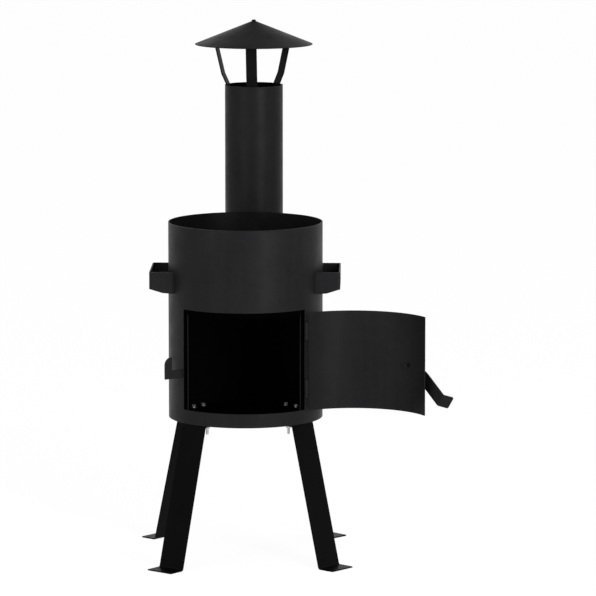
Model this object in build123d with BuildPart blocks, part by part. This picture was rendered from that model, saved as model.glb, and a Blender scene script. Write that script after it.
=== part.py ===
from build123d import *
from math import atan2, cos, degrees, hypot, radians, sin, sqrt
import os

# Cauldron stove: a round sheet-steel firebox on four bolted strip legs, with a swing door,
# a gravity latch lever, two carrying handles and a rear chimney with a rain cap.
# Millimetres. The origin lies on the ground under the body's axis. +Z is up, the door faces -Y
# and +X is to the right of someone who faces the door.
# Angles of place are degrees around the body's axis, from the front (-Y) towards +X.

# Body
body_outer_r = 180.0
body_wall = 2.5
body_height = 458.0
ground_clearance = 327.0
floor_thickness = 3.0

# Door opening and door
opening_half_angle = 51.3
opening_sill = 32.5
opening_height = 234.5
door_side_gap = 3.0
door_bottom_gap = 0.5
door_top_gap = 5.0
door_thickness = 2.0
door_stop_clearance = 0.5
door_open_angle = 165.4

# Strips behind the opening's edges that the closed door meets
stop_thickness = 2.0
stop_lap = 12.5
stop_weld_width = 14.0

# Hinges
hinge_height = 40.0
hinge_top_inset = 45.0
hinge_bottom_inset = 49.5
hinge_knuckles = 5
hinge_knuckle_r = 5.2
hinge_knuckle_gap = 0.6
hinge_pin_r = 2.5
hinge_pin_head_r = 4.2
hinge_pin_head_height = 2.0
hinge_leaf_thickness = 2.0
hinge_leaf_width = 20.0
hinge_leaf_gap = 0.6
hinge_running_clearance = 0.06
hinge_free_clearance = 0.6
hinge_stand_off = 1.2

# Latch lever on the door. Its pivot is placed from the opening's side edge and the door's bottom
pivot_edge_angle = 21.9
pivot_rise = 109.3
lever_width = 32.0
lever_thickness = 3.0
lever_first_run = 53.6
lever_second_run = 71.6
lever_inward_bend = 7.8
lever_tab_length = 26.8
lever_tab_bend = 66.5
lever_tab_corner_r = 3.0
lever_bend_r = 5.0
lever_droop = 34.6
lever_running_clearance = 0.06
lever_side_clearance = 0.1

# Catch hook on the body, placed from the opening's side edge and the lever's pivot
hook_edge_angle = 2.4
hook_thickness = 4.0
hook_notch_reach = 27.5
hook_prong_width = 19.0
hook_drop = 36.4
hook_prong_rise = 30.7
hook_tip_flat = 1.0
hook_lever_clearance = 0.5

# Handles
handle_reach = 41.5
handle_half_width = 86.0
handle_set_back = 13.0
handle_strap = 3.0
handle_drop = 110.5
handle_grip_depth = 40.0
handle_taper_depth = 48.7
handle_root_depth = 50.5
handle_taper_run = 31.5
handle_corner_r = 6.0

# Legs
leg_angles = (-38.1, 49.1, 136.5, 230.1)
leg_shifts = (-6.6, -1.1, 0.0, -1.7)
leg_names = ("front_left", "front_right", "rear_right", "rear_left")
leg_width = 70.0
leg_thickness = 3.0
leg_flange_length = 47.0
leg_splay = 83.4
leg_foot_length = 41.0
leg_outer_bend_r = 6.0
leg_foot_bend_r = 4.0

# M6 fasteners
screw_r = 3.0
screw_hole_clearance = 0.3
screw_head_across = 10.0
screw_head_height = 4.0
nut_height = 5.0
washer_r = 6.0
washer_thickness = 1.6
spring_washer_r = 5.5
spring_washer_slit = 1.0
leg_screw_length = 30.0
leg_screw_spacing = 34.0
leg_screw_inset = 29.0
latch_washer_r = 7.0
latch_screw_overrun = 2.5

# Flue and chimney
chimney_angle = 177.3
chimney_gap = 14.8
flue_drop = 120.0
flue_outer_r = 66.4
flue_wall = 2.0
flue_stub_height = 48.0
flue_mitre_angle = 45.0
collar_rise = 0.6
collar_lip = 1.5
collar_thickness = 3.0
pipe_slip_clearance = 0.6
pipe_wall = 2.0
pipe_length = 345.0

# Rain cap
cap_overhang = 71.0
cap_rise = 56.0
cap_sheet = 1.5
cap_rim_rise = 97.5
cap_knob_r = 5.0
cap_knob_rise = 1.5
cap_knob_round = 2.0
strut_angles = (-2.3, 122.8, -103.0)
strut_names = ("front", "right", "left")
strut_width = 26.0
strut_thickness = 3.0
strut_insert = 40.0
strut_bend_above_top = 1.0
strut_knee_lean = 8.0
strut_knee_rise = 25.0
strut_top_lean = 29.0
strut_flange = 18.0
strut_bend_r = 6.0

# Sizes that follow from the ones above
body_inner_r = body_outer_r - body_wall
screw_hole_r = screw_r + screw_hole_clearance
body_bottom = ground_clearance
body_top = body_bottom + body_height
floor_top = body_bottom + floor_thickness
opening_bottom = body_bottom + opening_sill
opening_top = opening_bottom + opening_height
door_bottom = opening_bottom + door_bottom_gap
door_top = opening_top - door_top_gap
door_height = door_top - door_bottom
door_inner_r = body_inner_r + door_stop_clearance
door_outer_r = door_inner_r + door_thickness
door_half_angle = opening_half_angle - degrees(door_side_gap / body_outer_r)
pivot_angle = pivot_edge_angle - opening_half_angle
pivot_height = door_bottom + pivot_rise
hook_angle = -opening_half_angle - hook_edge_angle
hook_bottom_height = pivot_height - hook_drop
hook_nose_r = hook_prong_width - hook_tip_flat
hinge_angle = (opening_half_angle + door_half_angle) / 2
hinge_axis_r = body_outer_r + hinge_stand_off + hinge_knuckle_r
hinge_bore_r = hinge_pin_r + hinge_running_clearance
pipe_inner_r = flue_outer_r + pipe_slip_clearance
pipe_outer_r = pipe_inner_r + pipe_wall
collar_outer_r = pipe_outer_r + collar_lip
chimney_reach = body_outer_r + chimney_gap + collar_outer_r
flue_height = body_top - flue_drop
collar_bottom = flue_height + flue_outer_r + collar_rise
collar_top = collar_bottom + collar_thickness
pipe_top_height = collar_top + pipe_length
cap_rim_height = pipe_top_height + cap_rim_rise
cap_r = pipe_outer_r + cap_overhang


# The direction of the front, as an angle in the sketches
FRONT = -90


def around(radius, angle):
    """The X and Y of a point at a radius and an angle of place."""
    return radius * sin(radians(angle)), -radius * cos(radians(angle))


def beside(radius, shift, angle):
    """The X and Y of a point at a radius along an angle of place, shifted sideways from that line."""
    x, y = around(radius, angle)
    return x + shift * cos(radians(angle)), y + shift * sin(radians(angle))


def outward_plane(angle, radius, height):
    """A plane that faces outwards: its x runs round the body, its y runs up."""
    x, y = around(radius, angle)
    turn = radians(angle)
    return Plane(origin=(x, y, height), x_dir=(cos(turn), sin(turn), 0), z_dir=(sin(turn), -cos(turn), 0))


def side_plane(angle, centre=(0, 0)):
    """An upright plane through a vertical axis: its x runs outwards, its y runs up."""
    turn = radians(angle)
    return Plane(
        origin=(centre[0], centre[1], 0),
        x_dir=(sin(turn), -cos(turn), 0),
        z_dir=(-cos(turn), -sin(turn), 0),
    )


def ring_sector(inner_r, outer_r, start, end):
    """A flat piece of a ring between two angles of place."""
    with BuildSketch() as sector:
        with BuildLine():
            CenterArc((0, 0), outer_r, start + FRONT, end - start)
            CenterArc((0, 0), inner_r, start + FRONT, end - start)
            Line(around(inner_r, start), around(outer_r, start))
            Line(around(inner_r, end), around(outer_r, end))
        make_face()
    return sector.sketch


def bent_strip(points, thickness, bend_r, side):
    """The edge view of a bent strip: one face follows the points, the other lies to one side."""
    with BuildSketch() as strip:
        with BuildLine():
            FilletPolyline(*points, radius=bend_r)
            offset(amount=thickness, side=side)
        make_face()
    return strip.sketch


def keep(piece, name):
    """Label a finished piece and write it to its own file."""
    piece.part.label = name
    export_step(piece.part, f"parts/{name}.step")


os.makedirs("parts", exist_ok=True)

# The chimney's axis
chimney_centre = around(chimney_reach, chimney_angle)

# Body shell, with the door opening and the flue hole
with BuildPart() as body_shell:
    with BuildSketch(Plane.XY.offset(body_bottom)):
        Circle(body_outer_r)
        Circle(body_inner_r, mode=Mode.SUBTRACT)
    extrude(amount=body_height)
    with BuildSketch(Plane.XY.offset(opening_bottom)):
        add(ring_sector(body_inner_r / 2, body_outer_r * 2, -opening_half_angle, opening_half_angle))
    extrude(amount=opening_height, mode=Mode.SUBTRACT)
    with BuildSketch(outward_plane(chimney_angle, body_inner_r / 2, flue_height)):
        Circle(flue_outer_r)
    extrude(amount=body_outer_r, mode=Mode.SUBTRACT)
keep(body_shell, "body_shell")

# The places of the leg screws, two to each leg
leg_screw_radial = body_outer_r - leg_screw_inset
leg_screw_places = []
for angle, shift in zip(leg_angles, leg_shifts):
    for side in (-1, 1):
        screw_shift = shift + side * leg_screw_spacing / 2
        leg_screw_places.append(beside(leg_screw_radial, screw_shift, angle))

# Floor plate, welded inside the bottom of the shell
with BuildPart() as floor_plate:
    with BuildSketch(Plane.XY.offset(body_bottom)):
        Circle(body_inner_r)
        with Locations(*leg_screw_places):
            Circle(screw_hole_r, mode=Mode.SUBTRACT)
    extrude(amount=floor_thickness)
keep(floor_plate, "floor_plate")

# Door stops: upright strips behind the two side edges and a curved strip behind the top edge
lap_angle = degrees(stop_lap / body_inner_r)
weld_angle = degrees(stop_weld_width / body_inner_r)
stop_inner_r = body_inner_r - stop_thickness
side_stop_bottom = floor_top
side_stop_height = opening_top + stop_weld_width - side_stop_bottom
stop_edge = opening_half_angle - lap_angle
stop_root = opening_half_angle + weld_angle
for name, start, end in (("stop_left", -stop_root, -stop_edge), ("stop_right", stop_edge, stop_root)):
    with BuildPart() as side_stop:
        with BuildSketch(Plane.XY.offset(side_stop_bottom)):
            add(ring_sector(stop_inner_r, body_inner_r, start, end))
        extrude(amount=side_stop_height)
    keep(side_stop, name)

with BuildPart() as stop_top:
    with BuildSketch(Plane.XY.offset(opening_top - stop_lap)):
        add(ring_sector(stop_inner_r, body_inner_r, -stop_edge, stop_edge))
    extrude(amount=stop_lap + stop_weld_width)
keep(stop_top, "stop_top")

# Handles: a wide strap bent to a U, with arms that grow deeper towards the body
handle_outer_x = body_outer_r + handle_reach
handle_inner_x = handle_outer_x - handle_strap
handle_taper_x = handle_outer_x - handle_taper_run
handle_top_height = body_top - handle_drop
handle_grip_bottom = handle_top_height - handle_grip_depth
handle_taper_bottom = handle_top_height - handle_taper_depth
handle_root_bottom = handle_top_height - handle_root_depth
handle_root_x = sqrt(body_outer_r**2 - (handle_half_width - handle_set_back) ** 2)
for name, side in (("handle_left", -1), ("handle_right", 1)):
    with BuildPart() as handle:
        with BuildSketch(Plane.XY.offset(handle_root_bottom)):
            with Locations((side * handle_outer_x / 2, handle_set_back)):
                RectangleRounded(handle_outer_x, 2 * handle_half_width, handle_corner_r)
            with Locations((side * handle_inner_x / 2, handle_set_back)):
                RectangleRounded(
                    handle_inner_x,
                    2 * (handle_half_width - handle_strap),
                    handle_corner_r - handle_strap,
                    mode=Mode.SUBTRACT,
                )
            Circle(body_outer_r, mode=Mode.SUBTRACT)
        extrude(amount=handle_root_depth)
        with BuildSketch(Plane.XZ):
            with BuildLine():
                Polyline(
                    (0, handle_root_bottom),
                    (side * handle_root_x, handle_root_bottom),
                    (side * handle_taper_x, handle_taper_bottom),
                    (side * handle_inner_x, handle_grip_bottom),
                    (side * 2 * handle_outer_x, handle_grip_bottom),
                    (side * 2 * handle_outer_x, body_bottom),
                    (0, body_bottom),
                    close=True,
                )
            make_face()
        extrude(amount=body_outer_r, both=True, mode=Mode.SUBTRACT)
    keep(handle, name)

# Legs: a flange under the floor, a sloping strip and a foot turned outwards
leg_top_r = body_outer_r
leg_ground_r = leg_top_r + leg_splay
leg_lean = leg_splay / ground_clearance
leg_foot_inner_r = leg_ground_r - leg_lean * leg_thickness
for name, angle, shift in zip(leg_names, leg_angles, leg_shifts):
    with BuildPart() as leg:
        with BuildSketch(side_plane(angle, beside(0, shift, angle))):
            add(
                bent_strip(
                    [
                        (leg_top_r - leg_flange_length, body_bottom),
                        (leg_top_r, body_bottom),
                        (leg_foot_inner_r, leg_thickness),
                        (leg_foot_inner_r + leg_foot_length, leg_thickness),
                    ],
                    leg_thickness,
                    (leg_outer_bend_r, leg_foot_bend_r),
                    Side.RIGHT,
                )
            )
        extrude(amount=leg_width / 2, both=True)
        with BuildSketch(Plane.XY.offset(body_bottom)):
            with Locations(*leg_screw_places):
                Circle(screw_hole_r)
        extrude(amount=-2 * leg_thickness, mode=Mode.SUBTRACT)
    keep(leg, f"leg_{name}")

# Leg screws: heads inside the stove on a flat and a spring washer, nuts below the flanges
spring_washer_bottom = floor_top + washer_thickness
leg_head_bottom = spring_washer_bottom + washer_thickness
flange_bottom = body_bottom - leg_thickness
leg_nut_top = flange_bottom - washer_thickness
with BuildPart() as leg_screws:
    with BuildSketch(Plane.XY.offset(leg_head_bottom)):
        with Locations(*leg_screw_places):
            RegularPolygon(screw_head_across / 2, 6, major_radius=False)
    extrude(amount=screw_head_height)
    with BuildSketch(Plane.XY.offset(leg_head_bottom)):
        with Locations(*leg_screw_places):
            Circle(screw_r)
    extrude(amount=-leg_screw_length)
keep(leg_screws, "leg_screws")

with BuildPart() as leg_washers:
    for height in (floor_top, leg_nut_top):
        with BuildSketch(Plane.XY.offset(height)):
            with Locations(*leg_screw_places):
                Circle(washer_r)
                Circle(screw_hole_r, mode=Mode.SUBTRACT)
        extrude(amount=washer_thickness)
keep(leg_washers, "leg_washers")

with BuildPart() as leg_spring_washers:
    with BuildSketch(Plane.XY.offset(spring_washer_bottom)):
        with Locations(*leg_screw_places):
            Circle(spring_washer_r)
            Circle(screw_hole_r, mode=Mode.SUBTRACT)
        with Locations(*[(x + spring_washer_r / 2, y) for x, y in leg_screw_places]):
            Rectangle(spring_washer_r, spring_washer_slit, mode=Mode.SUBTRACT)
    extrude(amount=washer_thickness)
keep(leg_spring_washers, "leg_spring_washers")

with BuildPart() as leg_nuts:
    with BuildSketch(Plane.XY.offset(leg_nut_top)):
        with Locations(*leg_screw_places):
            RegularPolygon(screw_head_across / 2, 6, major_radius=False)
            Circle(screw_r, mode=Mode.SUBTRACT)
    extrude(amount=-nut_height)
keep(leg_nuts, "leg_nuts")

# The hinge axis, and the frame that carries the closed door's places to the open door
hinge_place = around(hinge_axis_r, hinge_angle)
open_turn = radians(door_open_angle)
door_frame = Plane(
    origin=(
        hinge_place[0] - hinge_place[0] * cos(open_turn) + hinge_place[1] * sin(open_turn),
        hinge_place[1] - hinge_place[0] * sin(open_turn) - hinge_place[1] * cos(open_turn),
        0,
    ),
    x_dir=(cos(open_turn), sin(open_turn), 0),
    z_dir=(0, 0, 1),
)


def on_door(plane):
    """A plane given for the closed door, moved along with the open door."""
    return Plane(door_frame.location * plane.location)


def hinge_leaf(frame, seat_r, centre_height, side, first_knuckle, bore_r):
    """Half a hinge: a leaf curved to the body and every second knuckle of the barrel."""
    bottom = centre_height - hinge_height / 2
    pitch = hinge_height / hinge_knuckles
    leaf_start = hinge_angle + side * degrees(hinge_leaf_gap / 2 / seat_r)
    leaf_end = hinge_angle + side * degrees(hinge_leaf_width / seat_r)
    leaf_span = sorted((leaf_start, leaf_end))
    with BuildPart() as leaf:
        with BuildSketch(frame.offset(bottom)):
            add(ring_sector(seat_r, seat_r + hinge_leaf_thickness, *leaf_span))
        extrude(amount=hinge_height)
        for knuckle in range(1 - first_knuckle, hinge_knuckles, 2):
            with BuildSketch(frame.offset(bottom + knuckle * pitch)):
                with Locations(hinge_place):
                    Circle(hinge_knuckle_r + hinge_free_clearance)
            extrude(amount=pitch, mode=Mode.SUBTRACT)
        for knuckle in range(first_knuckle, hinge_knuckles, 2):
            with BuildSketch(frame.offset(bottom + knuckle * pitch + hinge_knuckle_gap / 2)):
                with Locations(hinge_place):
                    Circle(hinge_knuckle_r)
            extrude(amount=pitch - hinge_knuckle_gap)
        with BuildSketch(frame.offset(bottom)):
            with Locations(hinge_place):
                Circle(bore_r)
        extrude(amount=hinge_height, mode=Mode.SUBTRACT)
    return leaf


# Hinges: the outer knuckles are on the body and hold the pin, the others turn on it with the door
hinge_centres = (("lower", door_bottom + hinge_bottom_inset), ("upper", door_top - hinge_top_inset))
for name, centre_height in hinge_centres:
    body_leaf = hinge_leaf(Plane.XY, body_outer_r, centre_height, 1, 0, hinge_pin_r)
    keep(body_leaf, f"hinge_{name}_body_leaf")
    door_leaf = hinge_leaf(door_frame, door_outer_r, centre_height, -1, 1, hinge_bore_r)
    keep(door_leaf, f"hinge_{name}_door_leaf")
    with BuildPart() as hinge_pin:
        with BuildSketch(Plane.XY.offset(centre_height - hinge_height / 2)):
            with Locations(hinge_place):
                Circle(hinge_pin_r)
        extrude(amount=hinge_height)
        with BuildSketch(Plane.XY.offset(centre_height + hinge_height / 2)):
            with Locations(hinge_place):
                Circle(hinge_pin_head_r)
        extrude(amount=hinge_pin_head_height)
    keep(hinge_pin, f"hinge_{name}_pin")

# Door panel
with BuildPart() as door_panel:
    with BuildSketch(door_frame.offset(door_bottom)):
        add(ring_sector(door_inner_r, door_outer_r, -door_half_angle, door_half_angle))
    extrude(amount=door_height)
    with BuildSketch(on_door(outward_plane(pivot_angle, door_inner_r / 2, pivot_height))):
        Circle(screw_hole_r)
    extrude(amount=body_outer_r, mode=Mode.SUBTRACT)
keep(door_panel, "door_panel")

# Heights of the latch stack above the door's outer face, along the pivot screw
spacer_nut_top = washer_thickness + nut_height
lever_inner_face = spacer_nut_top + washer_thickness + lever_side_clearance
lever_outer_face = lever_inner_face + lever_thickness
latch_head_face = lever_outer_face + lever_side_clearance
latch_inner_seat = sqrt(door_inner_r**2 - latch_washer_r**2) - door_outer_r
latch_nut_face = latch_inner_seat - washer_thickness
latch_screw_end = latch_nut_face - nut_height - latch_screw_overrun
pivot_plane = on_door(outward_plane(pivot_angle, door_outer_r, pivot_height))

# Latch screw, with a washer and a nut inside the door and a nut between two washers outside it
with BuildPart() as latch_screw:
    with BuildSketch(pivot_plane.offset(latch_head_face)):
        RegularPolygon(screw_head_across / 2, 6, major_radius=False)
    extrude(amount=screw_head_height)
    with BuildSketch(pivot_plane.offset(latch_head_face)):
        Circle(screw_r)
    extrude(amount=latch_screw_end - latch_head_face)
keep(latch_screw, "latch_screw")

with BuildPart() as latch_washers:
    for height in (latch_nut_face, 0, spacer_nut_top):
        with BuildSketch(pivot_plane.offset(height)):
            Circle(latch_washer_r)
            Circle(screw_hole_r, mode=Mode.SUBTRACT)
        extrude(amount=washer_thickness)
keep(latch_washers, "latch_washers")

with BuildPart() as latch_nuts:
    for height in (latch_nut_face, spacer_nut_top):
        with BuildSketch(pivot_plane.offset(height)):
            RegularPolygon(screw_head_across / 2, 6, major_radius=False)
            Circle(screw_r, mode=Mode.SUBTRACT)
        extrude(amount=-nut_height)
keep(latch_nuts, "latch_nuts")


def turned(plane, angles):
    """A plane turned about its own axes."""
    return Plane(plane.location * Location((0, 0, 0), angles))


# Latch lever: a flat strip that droops from its pivot, with its end bent out as a finger tab
lever_face = turned(pivot_plane, (0, 0, 180 + lever_droop))
lever_edge_view = turned(lever_face, (90, 0, 0))
second_slope = radians(-lever_inward_bend)
tab_slope = radians(lever_tab_bend - lever_inward_bend)
second_end_x = lever_first_run + lever_second_run * cos(second_slope)
second_end_y = lever_inner_face + lever_second_run * sin(second_slope)
tab_end_x = second_end_x + lever_tab_length * cos(tab_slope)
tab_end_y = second_end_y + lever_tab_length * sin(tab_slope)
with BuildPart() as latch_lever:
    with BuildSketch(lever_edge_view):
        add(
            bent_strip(
                [
                    (-lever_width / 2, lever_inner_face),
                    (lever_first_run, lever_inner_face),
                    (second_end_x, second_end_y),
                    (tab_end_x, tab_end_y),
                ],
                lever_thickness,
                lever_bend_r,
                Side.LEFT,
            )
        )
    extrude(amount=lever_width / 2, both=True)
    with BuildSketch(lever_face):
        Circle(lever_width / 2)
        with Locations((tab_end_x, 0)):
            Rectangle(2 * tab_end_x, lever_width)
        Circle(screw_r + lever_running_clearance, mode=Mode.SUBTRACT)
    extrude(amount=2 * lever_tab_length, both=True, mode=Mode.INTERSECT)
    corners = latch_lever.edges().filter_by(lambda edge: edge.length < 2 * lever_thickness)
    fillet(corners.sort_by_distance(lever_face.origin)[-2:], lever_tab_corner_r)
keep(latch_lever, "latch_lever")

# Catch hook: a plate welded edgewise to the body, with a notch that the lever drops into
hook_notch_r = body_outer_r + hook_notch_reach
hook_outer_r = hook_notch_r + hook_prong_width
hook_notch_floor = pivot_height - lever_width / 2 - hook_lever_clearance
hook_prong_top = hook_notch_floor + hook_prong_rise
with BuildPart() as catch_hook:
    with BuildSketch(side_plane(hook_angle)):
        with BuildLine():
            Polyline(
                (hook_outer_r, hook_prong_top - hook_nose_r),
                (hook_outer_r, hook_bottom_height),
                (body_inner_r, hook_bottom_height),
                (body_inner_r, hook_notch_floor),
                (hook_notch_r, hook_notch_floor),
                (hook_notch_r, hook_prong_top),
                (hook_outer_r - hook_nose_r, hook_prong_top),
            )
            RadiusArc(
                (hook_outer_r - hook_nose_r, hook_prong_top),
                (hook_outer_r, hook_prong_top - hook_nose_r),
                hook_nose_r,
            )
        make_face()
    extrude(amount=hook_thickness / 2, both=True)
    with BuildSketch(Plane.XY.offset(body_bottom)):
        Circle(body_outer_r)
    extrude(amount=body_height, mode=Mode.SUBTRACT)
keep(catch_hook, "catch_hook")

# Flue elbow: a level tube out of the back of the body, mitred to an upright stub for the chimney
flue_stub_top = collar_top + flue_stub_height
mitre = turned(outward_plane(chimney_angle, chimney_reach, flue_height), (-flue_mitre_angle, 0, 0))
with BuildPart() as flue_tube:
    with BuildSketch(outward_plane(chimney_angle, body_inner_r / 2, flue_height)):
        Circle(flue_outer_r)
        Circle(flue_outer_r - flue_wall, mode=Mode.SUBTRACT)
    extrude(amount=chimney_reach + flue_outer_r)
    with BuildSketch(Plane.XY.offset(body_bottom)):
        Circle(body_inner_r)
    extrude(amount=body_height, mode=Mode.SUBTRACT)
    split(bisect_by=mitre, keep=Keep.BOTTOM)
keep(flue_tube, "flue_tube")

with BuildPart() as flue_stub:
    with BuildSketch(Plane.XY.offset(flue_stub_top)):
        with Locations(chimney_centre):
            Circle(flue_outer_r)
            Circle(flue_outer_r - flue_wall, mode=Mode.SUBTRACT)
    extrude(amount=flue_height - flue_outer_r - flue_stub_top)
    split(bisect_by=mitre, keep=Keep.TOP)
keep(flue_stub, "flue_stub")

# Collar on the stub, which carries the chimney pipe
with BuildPart() as flue_collar:
    with BuildSketch(Plane.XY.offset(collar_bottom)):
        with Locations(chimney_centre):
            Circle(collar_outer_r)
            Circle(flue_outer_r, mode=Mode.SUBTRACT)
    extrude(amount=collar_thickness)
keep(flue_collar, "flue_collar")

# Chimney pipe, which slips over the stub and stands on the collar
with BuildPart() as chimney_pipe:
    with BuildSketch(Plane.XY.offset(collar_top)):
        with Locations(chimney_centre):
            Circle(pipe_outer_r)
            Circle(pipe_inner_r, mode=Mode.SUBTRACT)
    extrude(amount=pipe_top_height - collar_top)
keep(chimney_pipe, "chimney_pipe")

# Rain cap: a shallow cone of sheet with a small knob at its point
cap_slope = atan2(cap_rise, cap_r)
cap_top_height = cap_rim_height + cap_rise
cap_under_height = cap_top_height - cap_sheet / cos(cap_slope)
with BuildPart() as cap_cone:
    with BuildSketch(side_plane(chimney_angle, chimney_centre)):
        with BuildLine():
            Polyline(
                (0, cap_top_height),
                (cap_r, cap_rim_height),
                (cap_r - cap_sheet * sin(cap_slope), cap_rim_height - cap_sheet * cos(cap_slope)),
                (0, cap_under_height),
                close=True,
            )
        make_face()
    revolve(axis=Axis((chimney_centre[0], chimney_centre[1], 0), (0, 0, 1)))
    with BuildSketch(Plane.XY.offset(cap_under_height)):
        with Locations(chimney_centre):
            Circle(cap_knob_r)
    extrude(amount=cap_top_height + cap_knob_rise - cap_under_height)
    fillet(cap_cone.edges().sort_by(Axis.Z)[-1], cap_knob_round)
keep(cap_cone, "cap_cone")


def cap_underside(radial):
    """The height where a strut's corner at this distance along the strut meets the cone."""
    return cap_under_height - hypot(radial, strut_width / 2) * cap_rise / cap_r


# Struts: strips from inside the pipe's mouth that lean outwards and turn in under the cone
strut_pipe_r = sqrt(pipe_inner_r**2 - (strut_width / 2) ** 2)
strut_knee_r = pipe_outer_r + strut_knee_lean
strut_top_r = pipe_outer_r + strut_top_lean
strut_flange_r = strut_top_r - strut_flange
for name, angle in zip(strut_names, strut_angles):
    with BuildPart() as strut:
        with BuildSketch(side_plane(angle, chimney_centre)):
            add(
                bent_strip(
                    [
                        (strut_pipe_r, pipe_top_height - strut_insert),
                        (strut_pipe_r, pipe_top_height + strut_bend_above_top),
                        (strut_knee_r, pipe_top_height + strut_knee_rise),
                        (strut_top_r, cap_underside(strut_top_r)),
                        (strut_flange_r, cap_underside(strut_flange_r)),
                    ],
                    strut_thickness,
                    strut_bend_r,
                    Side.LEFT,
                )
            )
        extrude(amount=strut_width / 2, both=True)
    keep(strut, f"cap_strut_{name}")
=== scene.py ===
from math import cos, pi, radians, sin, sqrt, tan
from typing import NamedTuple

import bmesh
import bpy
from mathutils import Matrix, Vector


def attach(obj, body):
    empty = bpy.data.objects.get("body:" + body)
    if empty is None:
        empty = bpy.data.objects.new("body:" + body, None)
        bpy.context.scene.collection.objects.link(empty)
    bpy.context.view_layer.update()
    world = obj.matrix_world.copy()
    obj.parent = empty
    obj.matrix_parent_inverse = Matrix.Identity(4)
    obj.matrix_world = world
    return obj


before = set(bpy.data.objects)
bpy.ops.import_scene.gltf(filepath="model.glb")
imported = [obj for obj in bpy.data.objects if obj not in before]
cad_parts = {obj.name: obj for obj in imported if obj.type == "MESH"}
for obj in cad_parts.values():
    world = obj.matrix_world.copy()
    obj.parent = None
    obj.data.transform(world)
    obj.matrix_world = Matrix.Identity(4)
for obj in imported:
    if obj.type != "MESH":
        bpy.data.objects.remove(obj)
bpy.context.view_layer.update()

scene = bpy.context.scene
scene.view_settings.view_transform = "Standard"

# The camera that the photograph was taken with, from a fit of the object's edges
CAMERA_PLACE = (0.3004, -9.6737, 1.9939)
CAMERA_HEADING = radians(1.054)
CAMERA_PITCH = radians(-8.17)
CAMERA_FAR_CLIP = 200
FOCAL_PIXELS = 4187.3
IMAGE_PIXELS = 596
SENSOR_MM = 36.0

# Sizes of the stove that the materials and the weld beads follow, in metres.
# Angles of place are in degrees, from the front towards +X.
BODY_R = 0.180
BODY_INNER_R = 0.1775
FLOOR_TOP = 0.330
BODY_TOP = 0.785
CHIMNEY_ANGLE = 177.3
CHIMNEY_REACH = 0.2653
FLUE_R = 0.0664
FLUE_HEIGHT = 0.665
PIPE_INNER_R = 0.067
HANDLE_FRONT = -0.073
HANDLE_REAR = 0.099
HANDLE_ROOT = (0.624, 0.6745)
STOP_EDGE_ANGLE = 47.265
HOOK_ANGLE = -53.7
HOOK_ROOT = (0.433, 0.4528)
HOOK_HALF_THICKNESS = 0.002


def around(radius, angle):
    """The X and Y of a point at a radius and an angle of place."""
    return radius * sin(radians(angle)), -radius * cos(radians(angle))


def aim(thing, direction):
    """Turns a camera or lamp to look along a direction."""
    thing.rotation_euler = direction.to_track_quat("-Z", "Y").to_euler()


def add_camera():
    data = bpy.data.cameras.new("camera")
    data.sensor_fit = "HORIZONTAL"
    data.sensor_width = SENSOR_MM
    data.lens = FOCAL_PIXELS / IMAGE_PIXELS * SENSOR_MM
    data.clip_end = CAMERA_FAR_CLIP
    camera = bpy.data.objects.new("camera", data)
    scene.collection.objects.link(camera)
    camera.location = CAMERA_PLACE
    aim(camera, Vector((
        -sin(CAMERA_HEADING) * cos(CAMERA_PITCH),
        cos(CAMERA_HEADING) * cos(CAMERA_PITCH),
        sin(CAMERA_PITCH),
    )))
    scene.camera = camera


# Materials


class Noise(NamedTuple):
    """A noise, with its scale per metre and the share it has where several are added."""

    scale: float
    share: float = 1.0
    detail: float = 3.0
    rough: float = 0.55
    stretch: tuple = ()


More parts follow.
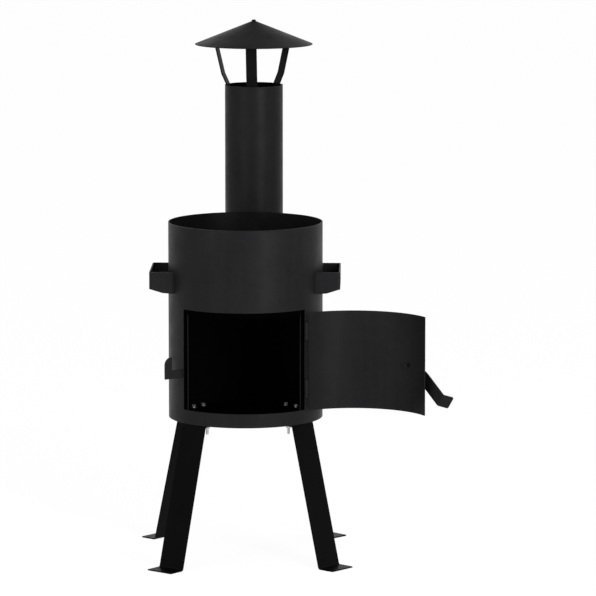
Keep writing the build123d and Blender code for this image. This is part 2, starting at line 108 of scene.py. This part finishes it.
class Graph:
    """A material's node tree, with short ways to add and join nodes."""

    def __init__(self, name):
        self.material = bpy.data.materials.new(name)
        self.material.use_nodes = True
        self.nodes = self.material.node_tree.nodes
        self.links = self.material.node_tree.links
        self.shader = self.nodes["Principled BSDF"]
        self.place = self.nodes.new("ShaderNodeTexCoord").outputs["Object"]

    def put(self, socket, value):
        """Links a socket to another, or sets it to a number or colour."""
        if isinstance(value, bpy.types.NodeSocket):
            self.links.new(value, socket)
        elif value is not None:
            socket.default_value = value

    def node(self, kind, settings=(), **inputs):
        """A node with its inputs filled by name, or by number as i0, i1 and so on."""
        made = self.nodes.new(kind)
        for key, value in settings:
            setattr(made, key, value)
        for key, value in inputs.items():
            index = int(key[1:]) if key[1:].isdigit() else key
            self.put(made.inputs[index], value)
        return made

    def math(self, operation, a, b=None, clamp=False):
        settings = (("operation", operation), ("use_clamp", clamp))
        return self.node("ShaderNodeMath", settings, i0=a, i1=b).outputs[0]

    def spread(self, value, span, to=(0.0, 1.0), smooth=False):
        """A value carried from one span to another, and held at its ends."""
        kind = "SMOOTHSTEP" if smooth else "LINEAR"
        made = self.node("ShaderNodeMapRange", (("interpolation_type", kind),), Value=value)
        ends = zip(("From Min", "From Max", "To Min", "To Max"), (*span, *to))
        for key, number in ends:
            self.put(made.inputs[key], number)
        return made.outputs[0]

    def noise(self, kind):
        vector = self.place
        if kind.stretch:
            vector = self.node("ShaderNodeMapping", Vector=vector, Scale=kind.stretch).outputs[0]
        made = self.node(
            "ShaderNodeTexNoise",
            Vector=vector, Scale=kind.scale, Detail=kind.detail, Roughness=kind.rough,
        )
        return made.outputs["Fac"]

    def noises(self, kinds):
        """Several noises added up by their shares."""
        total = 0.0
        for kind in kinds:
            total = self.math("ADD", total, self.math("MULTIPLY", self.noise(kind), kind.share))
        return total

    def mix(self, fac, a, b):
        settings = (("data_type", "RGBA"),)
        return self.node("ShaderNodeMix", settings, i0=fac, i6=a, i7=b).outputs[2]

    def axis(self, name):
        return self.node("ShaderNodeSeparateXYZ", Vector=self.place).outputs[name]

    def reach(self, centre=(0, 0)):
        """The distance from an upright axis."""
        squares = []
        for name, middle in zip("XY", centre):
            offset = self.math("SUBTRACT", self.axis(name), middle)
            squares.append(self.math("MULTIPLY", offset, offset))
        return self.math("SQRT", self.math("ADD", *squares))

    def edge(self, radius):
        """How sharply the surface turns within this radius, and the softened normal."""
        soft = self.node("ShaderNodeBevel", (("samples", 4),), Radius=radius).outputs[0]
        sharp = self.node("ShaderNodeNewGeometry").outputs["Normal"]
        settings = (("operation", "DOT_PRODUCT"),)
        turn = self.node("ShaderNodeVectorMath", settings, i0=soft, i1=sharp)
        return self.spread(turn.outputs["Value"], EDGE_TURN), soft

    def finish(self, colour, roughness, height, soft, strength, distance):
        """Sets the shader's colour and roughness, and bumps the softened normal."""
        self.put(self.shader.inputs["Base Color"], colour)
        self.put(self.shader.inputs["Roughness"], roughness)
        bump = self.node(
            "ShaderNodeBump", Strength=strength, Distance=distance, Height=height, Normal=soft
        )
        self.put(self.shader.inputs["Normal"], bump.outputs[0])
        return self.material


# Cosines of the turn at which an edge begins to count, and at which it counts in full
EDGE_TURN = (0.97, 0.72)

# Paint: mottle, worn edges, patches of gloss and fine peel
PAINT_MOTTLE = (
    Noise(7.0, 0.5, detail=4.0),
    Noise(60.0, 0.25, detail=5.0, rough=0.65),
    Noise(1.0, 0.25, stretch=(55.0, 55.0, 3.0)),
)
PAINT_MOTTLE_SPAN = (0.36, 0.64)
PAINT_DARK = 0.78
PAINT_LIGHT = 1.22
PAINT_DARK_BLUE = 0.10
PAINT_LIGHT_BLUE = 0.06
PAINT_EDGE_R = 0.0009
WEAR_PATCHES = Noise(38.0, detail=4.0)
WEAR_SPAN = (0.35, 0.7)
WEAR_LEAST = 0.25
WORN_LIGHTER = 2.6
WORN_STEEL = 0.006
GLOSS_PATCHES = Noise(24.0, detail=4.0, rough=0.6)
GLOSS_SPAN = (0.3, 0.7)
GLOSS_SMOOTHER = 0.06
GLOSS_ROUGHER = 0.08
PAINT_PEEL = (Noise(420.0, detail=2.0), Noise(1500.0, 0.5, detail=2.0))
PEEL_STRENGTH = 0.22
PEEL_DISTANCE = 0.0004

# Painted shade over the insides of the firebox and pipe: grey levels, patches and the roughness
# it adds
LIGHT_PAINTED_SHADE = 0.0055
DEEP_PAINTED_SHADE = 0.0005
SHADE_PATCHES = Noise(16.0, detail=6.0, rough=0.7)
SHADE_PATCH_SPAN = (0.35, 0.7)
SHADE_PATCH_DARK = 0.7
LIGHT_SHADE_BRIGHTER = 1.4
LIGHT_SHADE_BLUE = 0.08
DEEP_SHADE_BRIGHTER = 1.5
DEEP_SHADE_WARM = 0.05
DULLED_ROUGHER = 0.6
SHADE_MARGIN = 0.001
SHADE_FADE_LOW = BODY_TOP - 0.19
SHADE_FADE_HIGH = BODY_TOP - 0.10
STOP_LIT_EDGE_ANGLE = 0.08

# Zinc plate: cloudy, brushed and brighter at its edges
ZINC_CLOUD = Noise(350.0, detail=4.0, rough=0.6)
ZINC_SPAN = (0.3, 0.7)
ZINC_DARK = 0.75
ZINC_DARK_BLUE = 0.04
ZINC_LIGHT_BLUE = 0.02
ZINC_EDGE_R = 0.0005
ZINC_EDGE_SHARE = 0.4
ZINC_EDGE_LIGHT = 1.15
ZINC_SMOOTHER = 0.08
ZINC_ROUGHER = 0.1
ZINC_BRUSHING = Noise(900.0, detail=2.0, stretch=(1.0, 1.0, 4.0))
BRUSH_STRENGTH = 0.15
BRUSH_DISTANCE = 0.0002


def grey(value, warm=0.0, blue=0.0):
    return (value * (1 + warm), value, value * (1 + blue), 1.0)


def apply_painted_shade(g, colour, roughness, painted_shade_mask):
    """Colour and roughness under painted shade. The shade function gives how far the painted
    shade covers, and how far it dulls.
    """
    cover, dull = painted_shade_mask(g)
    patches = g.spread(g.noise(SHADE_PATCHES), SHADE_PATCH_SPAN)
    lighter_shade = g.mix(
        patches,
        grey(LIGHT_PAINTED_SHADE * SHADE_PATCH_DARK),
        grey(LIGHT_PAINTED_SHADE * LIGHT_SHADE_BRIGHTER, blue=LIGHT_SHADE_BLUE),
    )
    deeper_shade = g.mix(
        patches,
        grey(DEEP_PAINTED_SHADE * SHADE_PATCH_DARK),
        grey(DEEP_PAINTED_SHADE * DEEP_SHADE_BRIGHTER, warm=DEEP_SHADE_WARM),
    )
    colour = g.mix(cover, colour, g.mix(dull, lighter_shade, deeper_shade))
    added = g.math("MULTIPLY", dull, DULLED_ROUGHER)
    return colour, g.math("ADD", roughness, added, clamp=True)


def black_paint(name, level, rough=0.42, specular=0.055, painted_shade_mask=None, wear=0.5):
    """Heat-resistant black paint on sheet steel, with painted shade over it where that is asked
    for.
    """
    g = Graph(name)
    colour = g.mix(
        g.spread(g.noises(PAINT_MOTTLE), PAINT_MOTTLE_SPAN),
        grey(level * PAINT_DARK, blue=PAINT_DARK_BLUE),
        grey(level * PAINT_LIGHT, blue=PAINT_LIGHT_BLUE),
    )
    edge, soft = g.edge(PAINT_EDGE_R)
    patches = g.spread(g.noise(WEAR_PATCHES), WEAR_SPAN, (WEAR_LEAST, 1.0))
    worn = g.math("MULTIPLY", g.math("MULTIPLY", edge, patches), wear)
    colour = g.mix(worn, colour, grey(level * WORN_LIGHTER + WORN_STEEL))
    gloss = (rough - GLOSS_SMOOTHER, rough + GLOSS_ROUGHER)
    roughness = g.spread(g.noise(GLOSS_PATCHES), GLOSS_SPAN, gloss)
    if painted_shade_mask is not None:
        colour, roughness = apply_painted_shade(g, colour, roughness, painted_shade_mask)
    g.shader.inputs["Specular IOR Level"].default_value = specular
    peel = g.noises(PAINT_PEEL)
    return g.finish(colour, roughness, peel, soft, PEEL_STRENGTH, PEEL_DISTANCE)


def zinc_plate(name, level, rough):
    """Bright zinc plate on a screw or nut."""
    g = Graph(name)
    cloud = g.noise(ZINC_CLOUD)
    edge, soft = g.edge(ZINC_EDGE_R)
    colour = g.mix(
        g.spread(cloud, ZINC_SPAN),
        grey(level * ZINC_DARK, blue=ZINC_DARK_BLUE),
        grey(level, blue=ZINC_LIGHT_BLUE),
    )
    worn = g.math("MULTIPLY", edge, ZINC_EDGE_SHARE)
    colour = g.mix(worn, colour, grey(level * ZINC_EDGE_LIGHT))
    roughness = g.spread(cloud, ZINC_SPAN, (rough - ZINC_SMOOTHER, rough + ZINC_ROUGHER))
    g.shader.inputs["Metallic"].default_value = 1.0
    brushed = g.noise(ZINC_BRUSHING)
    return g.finish(colour, roughness, brushed, soft, BRUSH_STRENGTH, BRUSH_DISTANCE)


def all_over(g):
    """Painted shade on everything that stands above the ground."""
    mask = g.math("GREATER_THAN", g.axis("Z"), 0.0)
    return mask, mask


def floor_shade(g):
    """Painted shade on the floor plate's top."""
    mask = g.math("GREATER_THAN", g.axis("Z"), FLOOR_TOP - SHADE_MARGIN)
    return mask, mask


def pipe_shade(g):
    """Painted shade on the inside of the chimney pipe."""
    centre = around(CHIMNEY_REACH, CHIMNEY_ANGLE)
    mask = g.math("LESS_THAN", g.reach(centre), PIPE_INNER_R + SHADE_MARGIN)
    return mask, mask


def side_stop_shade(g):
    """Painted shade on a side stop, all but its cut edge, which keeps the stop's lighter paint as
    a painted highlight.
    """
    slope = -tan(radians(STOP_EDGE_ANGLE + STOP_LIT_EDGE_ANGLE))
    line = g.math("MULTIPLY", g.axis("Y"), slope)
    mask = g.math("GREATER_THAN", g.math("ABSOLUTE", g.axis("X")), line)
    return mask, mask


def shell_shade(g):
    """Painted shade on the shell's inside, deeper and duller low down, lighter and glossier near
    the rim.
    """
    mask = g.math("LESS_THAN", g.reach(), (BODY_R + BODY_INNER_R) / 2)
    low = g.spread(g.axis("Z"), (SHADE_FADE_LOW, SHADE_FADE_HIGH), (1.0, 0.0), smooth=True)
    return mask, g.math("MULTIPLY", mask, low)


# The shell, floor plate and pipe carry painted shade on their insides, from the shade functions
# above
shell_paint = black_paint("shell_paint", 0.0125, painted_shade_mask=shell_shade)
floor_plate_paint = black_paint("floor_plate_paint", 0.009, specular=0.01, painted_shade_mask=floor_shade)
pipe_paint = black_paint("pipe_paint", 0.012, painted_shade_mask=pipe_shade)
plain_paint = black_paint("stove_paint", 0.0145)
door_paint = black_paint("door_paint", 0.0115)
# The cap carries a darker copy of the stove paint: painted shade
shaded_cap_paint = black_paint("shaded_cap_paint", 0.006, rough=0.38, specular=0.028)
# The legs carry a much darker copy of the stove paint: painted shade
shaded_leg_paint = black_paint("shaded_leg_paint", 0.0009, rough=0.34, specular=0.033, wear=0.4)
# The top stop is a dark copy of the stove paint, with painted shade over all of it
top_stop_paint = black_paint("shaded_stop_paint", 0.002, specular=0.01, painted_shade_mask=all_over, wear=1.0)
# The side stops' paint is lighter than the stove's, so their cut edges show a painted highlight;
# painted shade covers the rest
side_stop_paint = black_paint(
    "side_stop_paint", 0.019, specular=0.01, painted_shade_mask=side_stop_shade, wear=0.2
)
dark_screw = black_paint("painted_screws", 0.003, rough=0.3, specular=0.25, wear=0.2)
zinc = zinc_plate("zinc_plate", 0.62, 0.34)

# The material of each node, by the first of these that its name starts with
FINISHES = (
    ("body_shell", shell_paint),
    ("floor_plate", floor_plate_paint),
    ("chimney_pipe", pipe_paint),
    ("stop_top", top_stop_paint),
    ("stop_", side_stop_paint),
    ("leg_screws", zinc),
    ("leg_nuts", zinc),
    ("leg_washers", zinc),
    ("leg_spring_washers", zinc),
    ("leg_", shaded_leg_paint),
    ("latch_screw", dark_screw),
    ("latch_nuts", dark_screw),
    ("latch_washers", dark_screw),
    ("latch_", door_paint),
    ("door_", door_paint),
    ("cap_", shaded_cap_paint),
    ("", plain_paint),
)

for name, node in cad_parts.items():
    node.data.materials.clear()
    node.data.materials.append(next(paint for start, paint in FINISHES if name.startswith(start)))

# Weld beads

BEAD_R = 0.0017
MITRE_BEAD_R = 0.0013
BEAD_SIDES = 8
BEAD_TURNS = [2 * pi * k / BEAD_SIDES for k in range(BEAD_SIDES)]
BEAD_RIPPLE = 0.0022
STEPS_PER_RIPPLE = 4
FLUE_STEPS = 96

# A bead's radius along its ripples, as shares of its plain radius
RIPPLE_NECK = 0.86
RIPPLE_CREST = 0.14
SWAY = 0.05
SWAY_RATE = 1.7
SWAY_START = 0.6

# How far a bead's middle stands from the surfaces that it joins, as shares of its radius
PROUD_OF_BODY = 0.2
PROUD_OF_HANDLE = 0.4
PROUD_OF_HOOK = 0.3

# A bead steeper than this is taken to be upright
UPRIGHT = 0.9


def across(along):
    """Two directions across a bead."""
    if abs(along.z) < UPRIGHT:
        aside = along.cross(Vector((0, 0, 1))).normalized()
    else:
        aside = along.orthogonal().normalized()
    return aside, along.cross(aside)


def swell(phase):
    """A bead's radius at a place on its ripples."""
    sway = SWAY * sin(SWAY_RATE * phase + SWAY_START)
    return RIPPLE_NECK + RIPPLE_CREST * abs(sin(pi * phase)) + sway


def bead(name, points, closed=False, radius=BEAD_R):
    """A rippled weld bead that follows the points."""
    points = [Vector(point) for point in points]
    ends = points[1:] + points[:1] if closed else points[1:]
    mesh = bmesh.new()
    rings = []
    travelled = 0.0
    for start, end in zip(points, ends):
        length = (end - start).length
        aside, up = across((end - start).normalized())
        count = max(1, round(length / BEAD_RIPPLE * STEPS_PER_RIPPLE))
        for i in range(count):
            at = start + (end - start) * (i / count)
            size = radius * swell((travelled + length * i / count) / BEAD_RIPPLE)
            rings.append([
                mesh.verts.new(at + (aside * cos(turn) + up * sin(turn)) * size)
                for turn in BEAD_TURNS
            ])
        travelled += length
    following = rings[1:] + rings[:1] if closed else rings[1:]
    for ring, after in zip(rings, following):
        for k in range(BEAD_SIDES):
            beside = (k + 1) % BEAD_SIDES
            mesh.faces.new((ring[k], ring[beside], after[beside], after[k]))
    if not closed:
        mesh.faces.new(list(reversed(rings[0])))
        mesh.faces.new(rings[-1])
    bmesh.ops.recalc_face_normals(mesh, faces=mesh.faces)
    data = bpy.data.meshes.new(name)
    mesh.to_mesh(data)
    mesh.free()
    for face in data.polygons:
        face.use_smooth = True
    piece = bpy.data.objects.new(name, data)
    scene.collection.objects.link(piece)
    data.materials.append(plain_paint)
    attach(piece, "stove")


def upright_bead(name, x, y, root):
    """A bead that runs up the body between the two heights of a root."""
    low, high = root
    bead(name, [(x, y, low + BEAD_R), (x, y, high - BEAD_R)])


def handle_beads():
    """Beads down the outside of the handles' arms, where they meet the body."""
    out = BODY_R + BEAD_R * PROUD_OF_BODY
    shift = BEAD_R * PROUD_OF_HANDLE
    for tag, side in (("left", -1), ("right", 1)):
        for place, y in (("front", HANDLE_FRONT - shift), ("rear", HANDLE_REAR + shift)):
            x = side * sqrt(out**2 - y * y)
            upright_bead(f"weld_handle_{tag}_{place}", x, y, HANDLE_ROOT)


def hook_beads():
    """Beads on both sides of the catch hook, where it meets the body."""
    turn = radians(HOOK_ANGLE)
    x, y = around(BODY_R + BEAD_R * PROUD_OF_BODY, HOOK_ANGLE)
    for tag, side in (("near", -1), ("far", 1)):
        shift = side * (HOOK_HALF_THICKNESS + BEAD_R * PROUD_OF_HOOK)
        upright_bead(
            f"weld_hook_{tag}", x + shift * cos(turn), y + shift * sin(turn), HOOK_ROOT
        )


def flue_ring(reach_of):
    """Points round the level flue tube, each as far out as its place on the tube gives."""
    angle = radians(CHIMNEY_ANGLE)
    points = []
    for i in range(FLUE_STEPS):
        turn = 2 * pi * i / FLUE_STEPS
        side = FLUE_R * cos(turn)
        rise = FLUE_R * sin(turn)
        x, y = around(reach_of(side, rise), CHIMNEY_ANGLE)
        points.append((x + side * cos(angle), y + side * sin(angle), FLUE_HEIGHT + rise))
    return points


def flue_beads():
    """Beads round the flue tube, at the body and at the mitre under the stub."""
    root = flue_ring(lambda side, rise: sqrt(BODY_R**2 - side * side))
    mitre = flue_ring(lambda side, rise: CHIMNEY_REACH - rise)
    bead("weld_flue_root", root, closed=True)
    bead("weld_flue_mitre", mitre, closed=True, radius=MITRE_BEAD_R)


# Floor, light and background

WHITE = (1, 1, 1, 1)
FLOOR_SIZE = 60
FLOOR_ROUGHNESS = 0.9
FLOOR_TONE = 0.85

# What the camera sees of the floor: a plain glow, and the tone on which the shadow falls
FLOOR_GLOW = 0.93
FLOOR_SHADE = 0.13

WORLD_FILL = 0.45
WORLD_WHITE = 1.0

LAMP_DISTANCE = 4.2
LAMP_HEIGHT = 1.35
LAMP_TALL = 2.4
LAMP_AIM = Vector((0, 0, 0.6))


def seen_directly(tree):
    """1 for rays from the camera and for those that a glossy or clear surface sends on."""
    path = tree.nodes.new("ShaderNodeLightPath")
    total = path.outputs["Is Camera Ray"]
    for key in ("Is Glossy Ray", "Is Transmission Ray"):
        join = tree.nodes.new("ShaderNodeMath")
        join.operation = "MAXIMUM"
        tree.links.new(total, join.inputs[0])
        tree.links.new(path.outputs[key], join.inputs[1])
        total = join.outputs[0]
    return total


def add_floor():
    """A white floor. What the camera sees of it is mostly plain white, with a faint shadow."""
    bpy.ops.mesh.primitive_plane_add(size=FLOOR_SIZE)
    floor = bpy.context.object
    floor.name = "floor"
    g = Graph("floor")
    g.shader.inputs["Roughness"].default_value = FLOOR_ROUGHNESS
    g.shader.inputs["Specular IOR Level"].default_value = 0.0
    g.shader.inputs["Emission Color"].default_value = WHITE
    seen = seen_directly(g.material.node_tree)
    g.put(g.shader.inputs["Emission Strength"], g.math("MULTIPLY", seen, FLOOR_GLOW))
    tone = g.mix(seen, grey(FLOOR_TONE), grey(FLOOR_SHADE))
    g.put(g.shader.inputs["Base Color"], tone)
    floor.data.materials.append(g.material)


def add_world():
    """An even grey light, which the camera and reflections see as white."""
    world = bpy.data.worlds.new("world")
    scene.world = world
    world.use_nodes = True
    tree = world.node_tree
    fill = tree.nodes["Background"]
    white = tree.nodes.new("ShaderNodeBackground")
    for light, strength in ((fill, WORLD_FILL), (white, WORLD_WHITE)):
        light.inputs["Color"].default_value = WHITE
        light.inputs["Strength"].default_value = strength
    blend = tree.nodes.new("ShaderNodeMixShader")
    tree.links.new(seen_directly(tree), blend.inputs[0])
    tree.links.new(fill.outputs[0], blend.inputs[1])
    tree.links.new(white.outputs[0], blend.inputs[2])
    tree.links.new(blend.outputs[0], tree.nodes["World Output"].inputs["Surface"])


def add_lamp(name, angle, wide, power):
    """A soft, tall lamp that faces the stove's body from an angle of place."""
    data = bpy.data.lights.new(name, "AREA")
    data.shape = "RECTANGLE"
    data.size = wide
    data.size_y = LAMP_TALL
    data.energy = power
    lamp = bpy.data.objects.new(name, data)
    scene.collection.objects.link(lamp)
    lamp.location = (*around(LAMP_DISTANCE, angle), LAMP_HEIGHT)
    aim(lamp, LAMP_AIM - lamp.location)


handle_beads()
hook_beads()
flue_beads()
add_camera()
add_floor()
add_world()
add_lamp("key_lamp", angle=32.0, wide=1.2, power=100.0)
add_lamp("fill_lamp", angle=-42.0, wide=1.3, power=38.0)
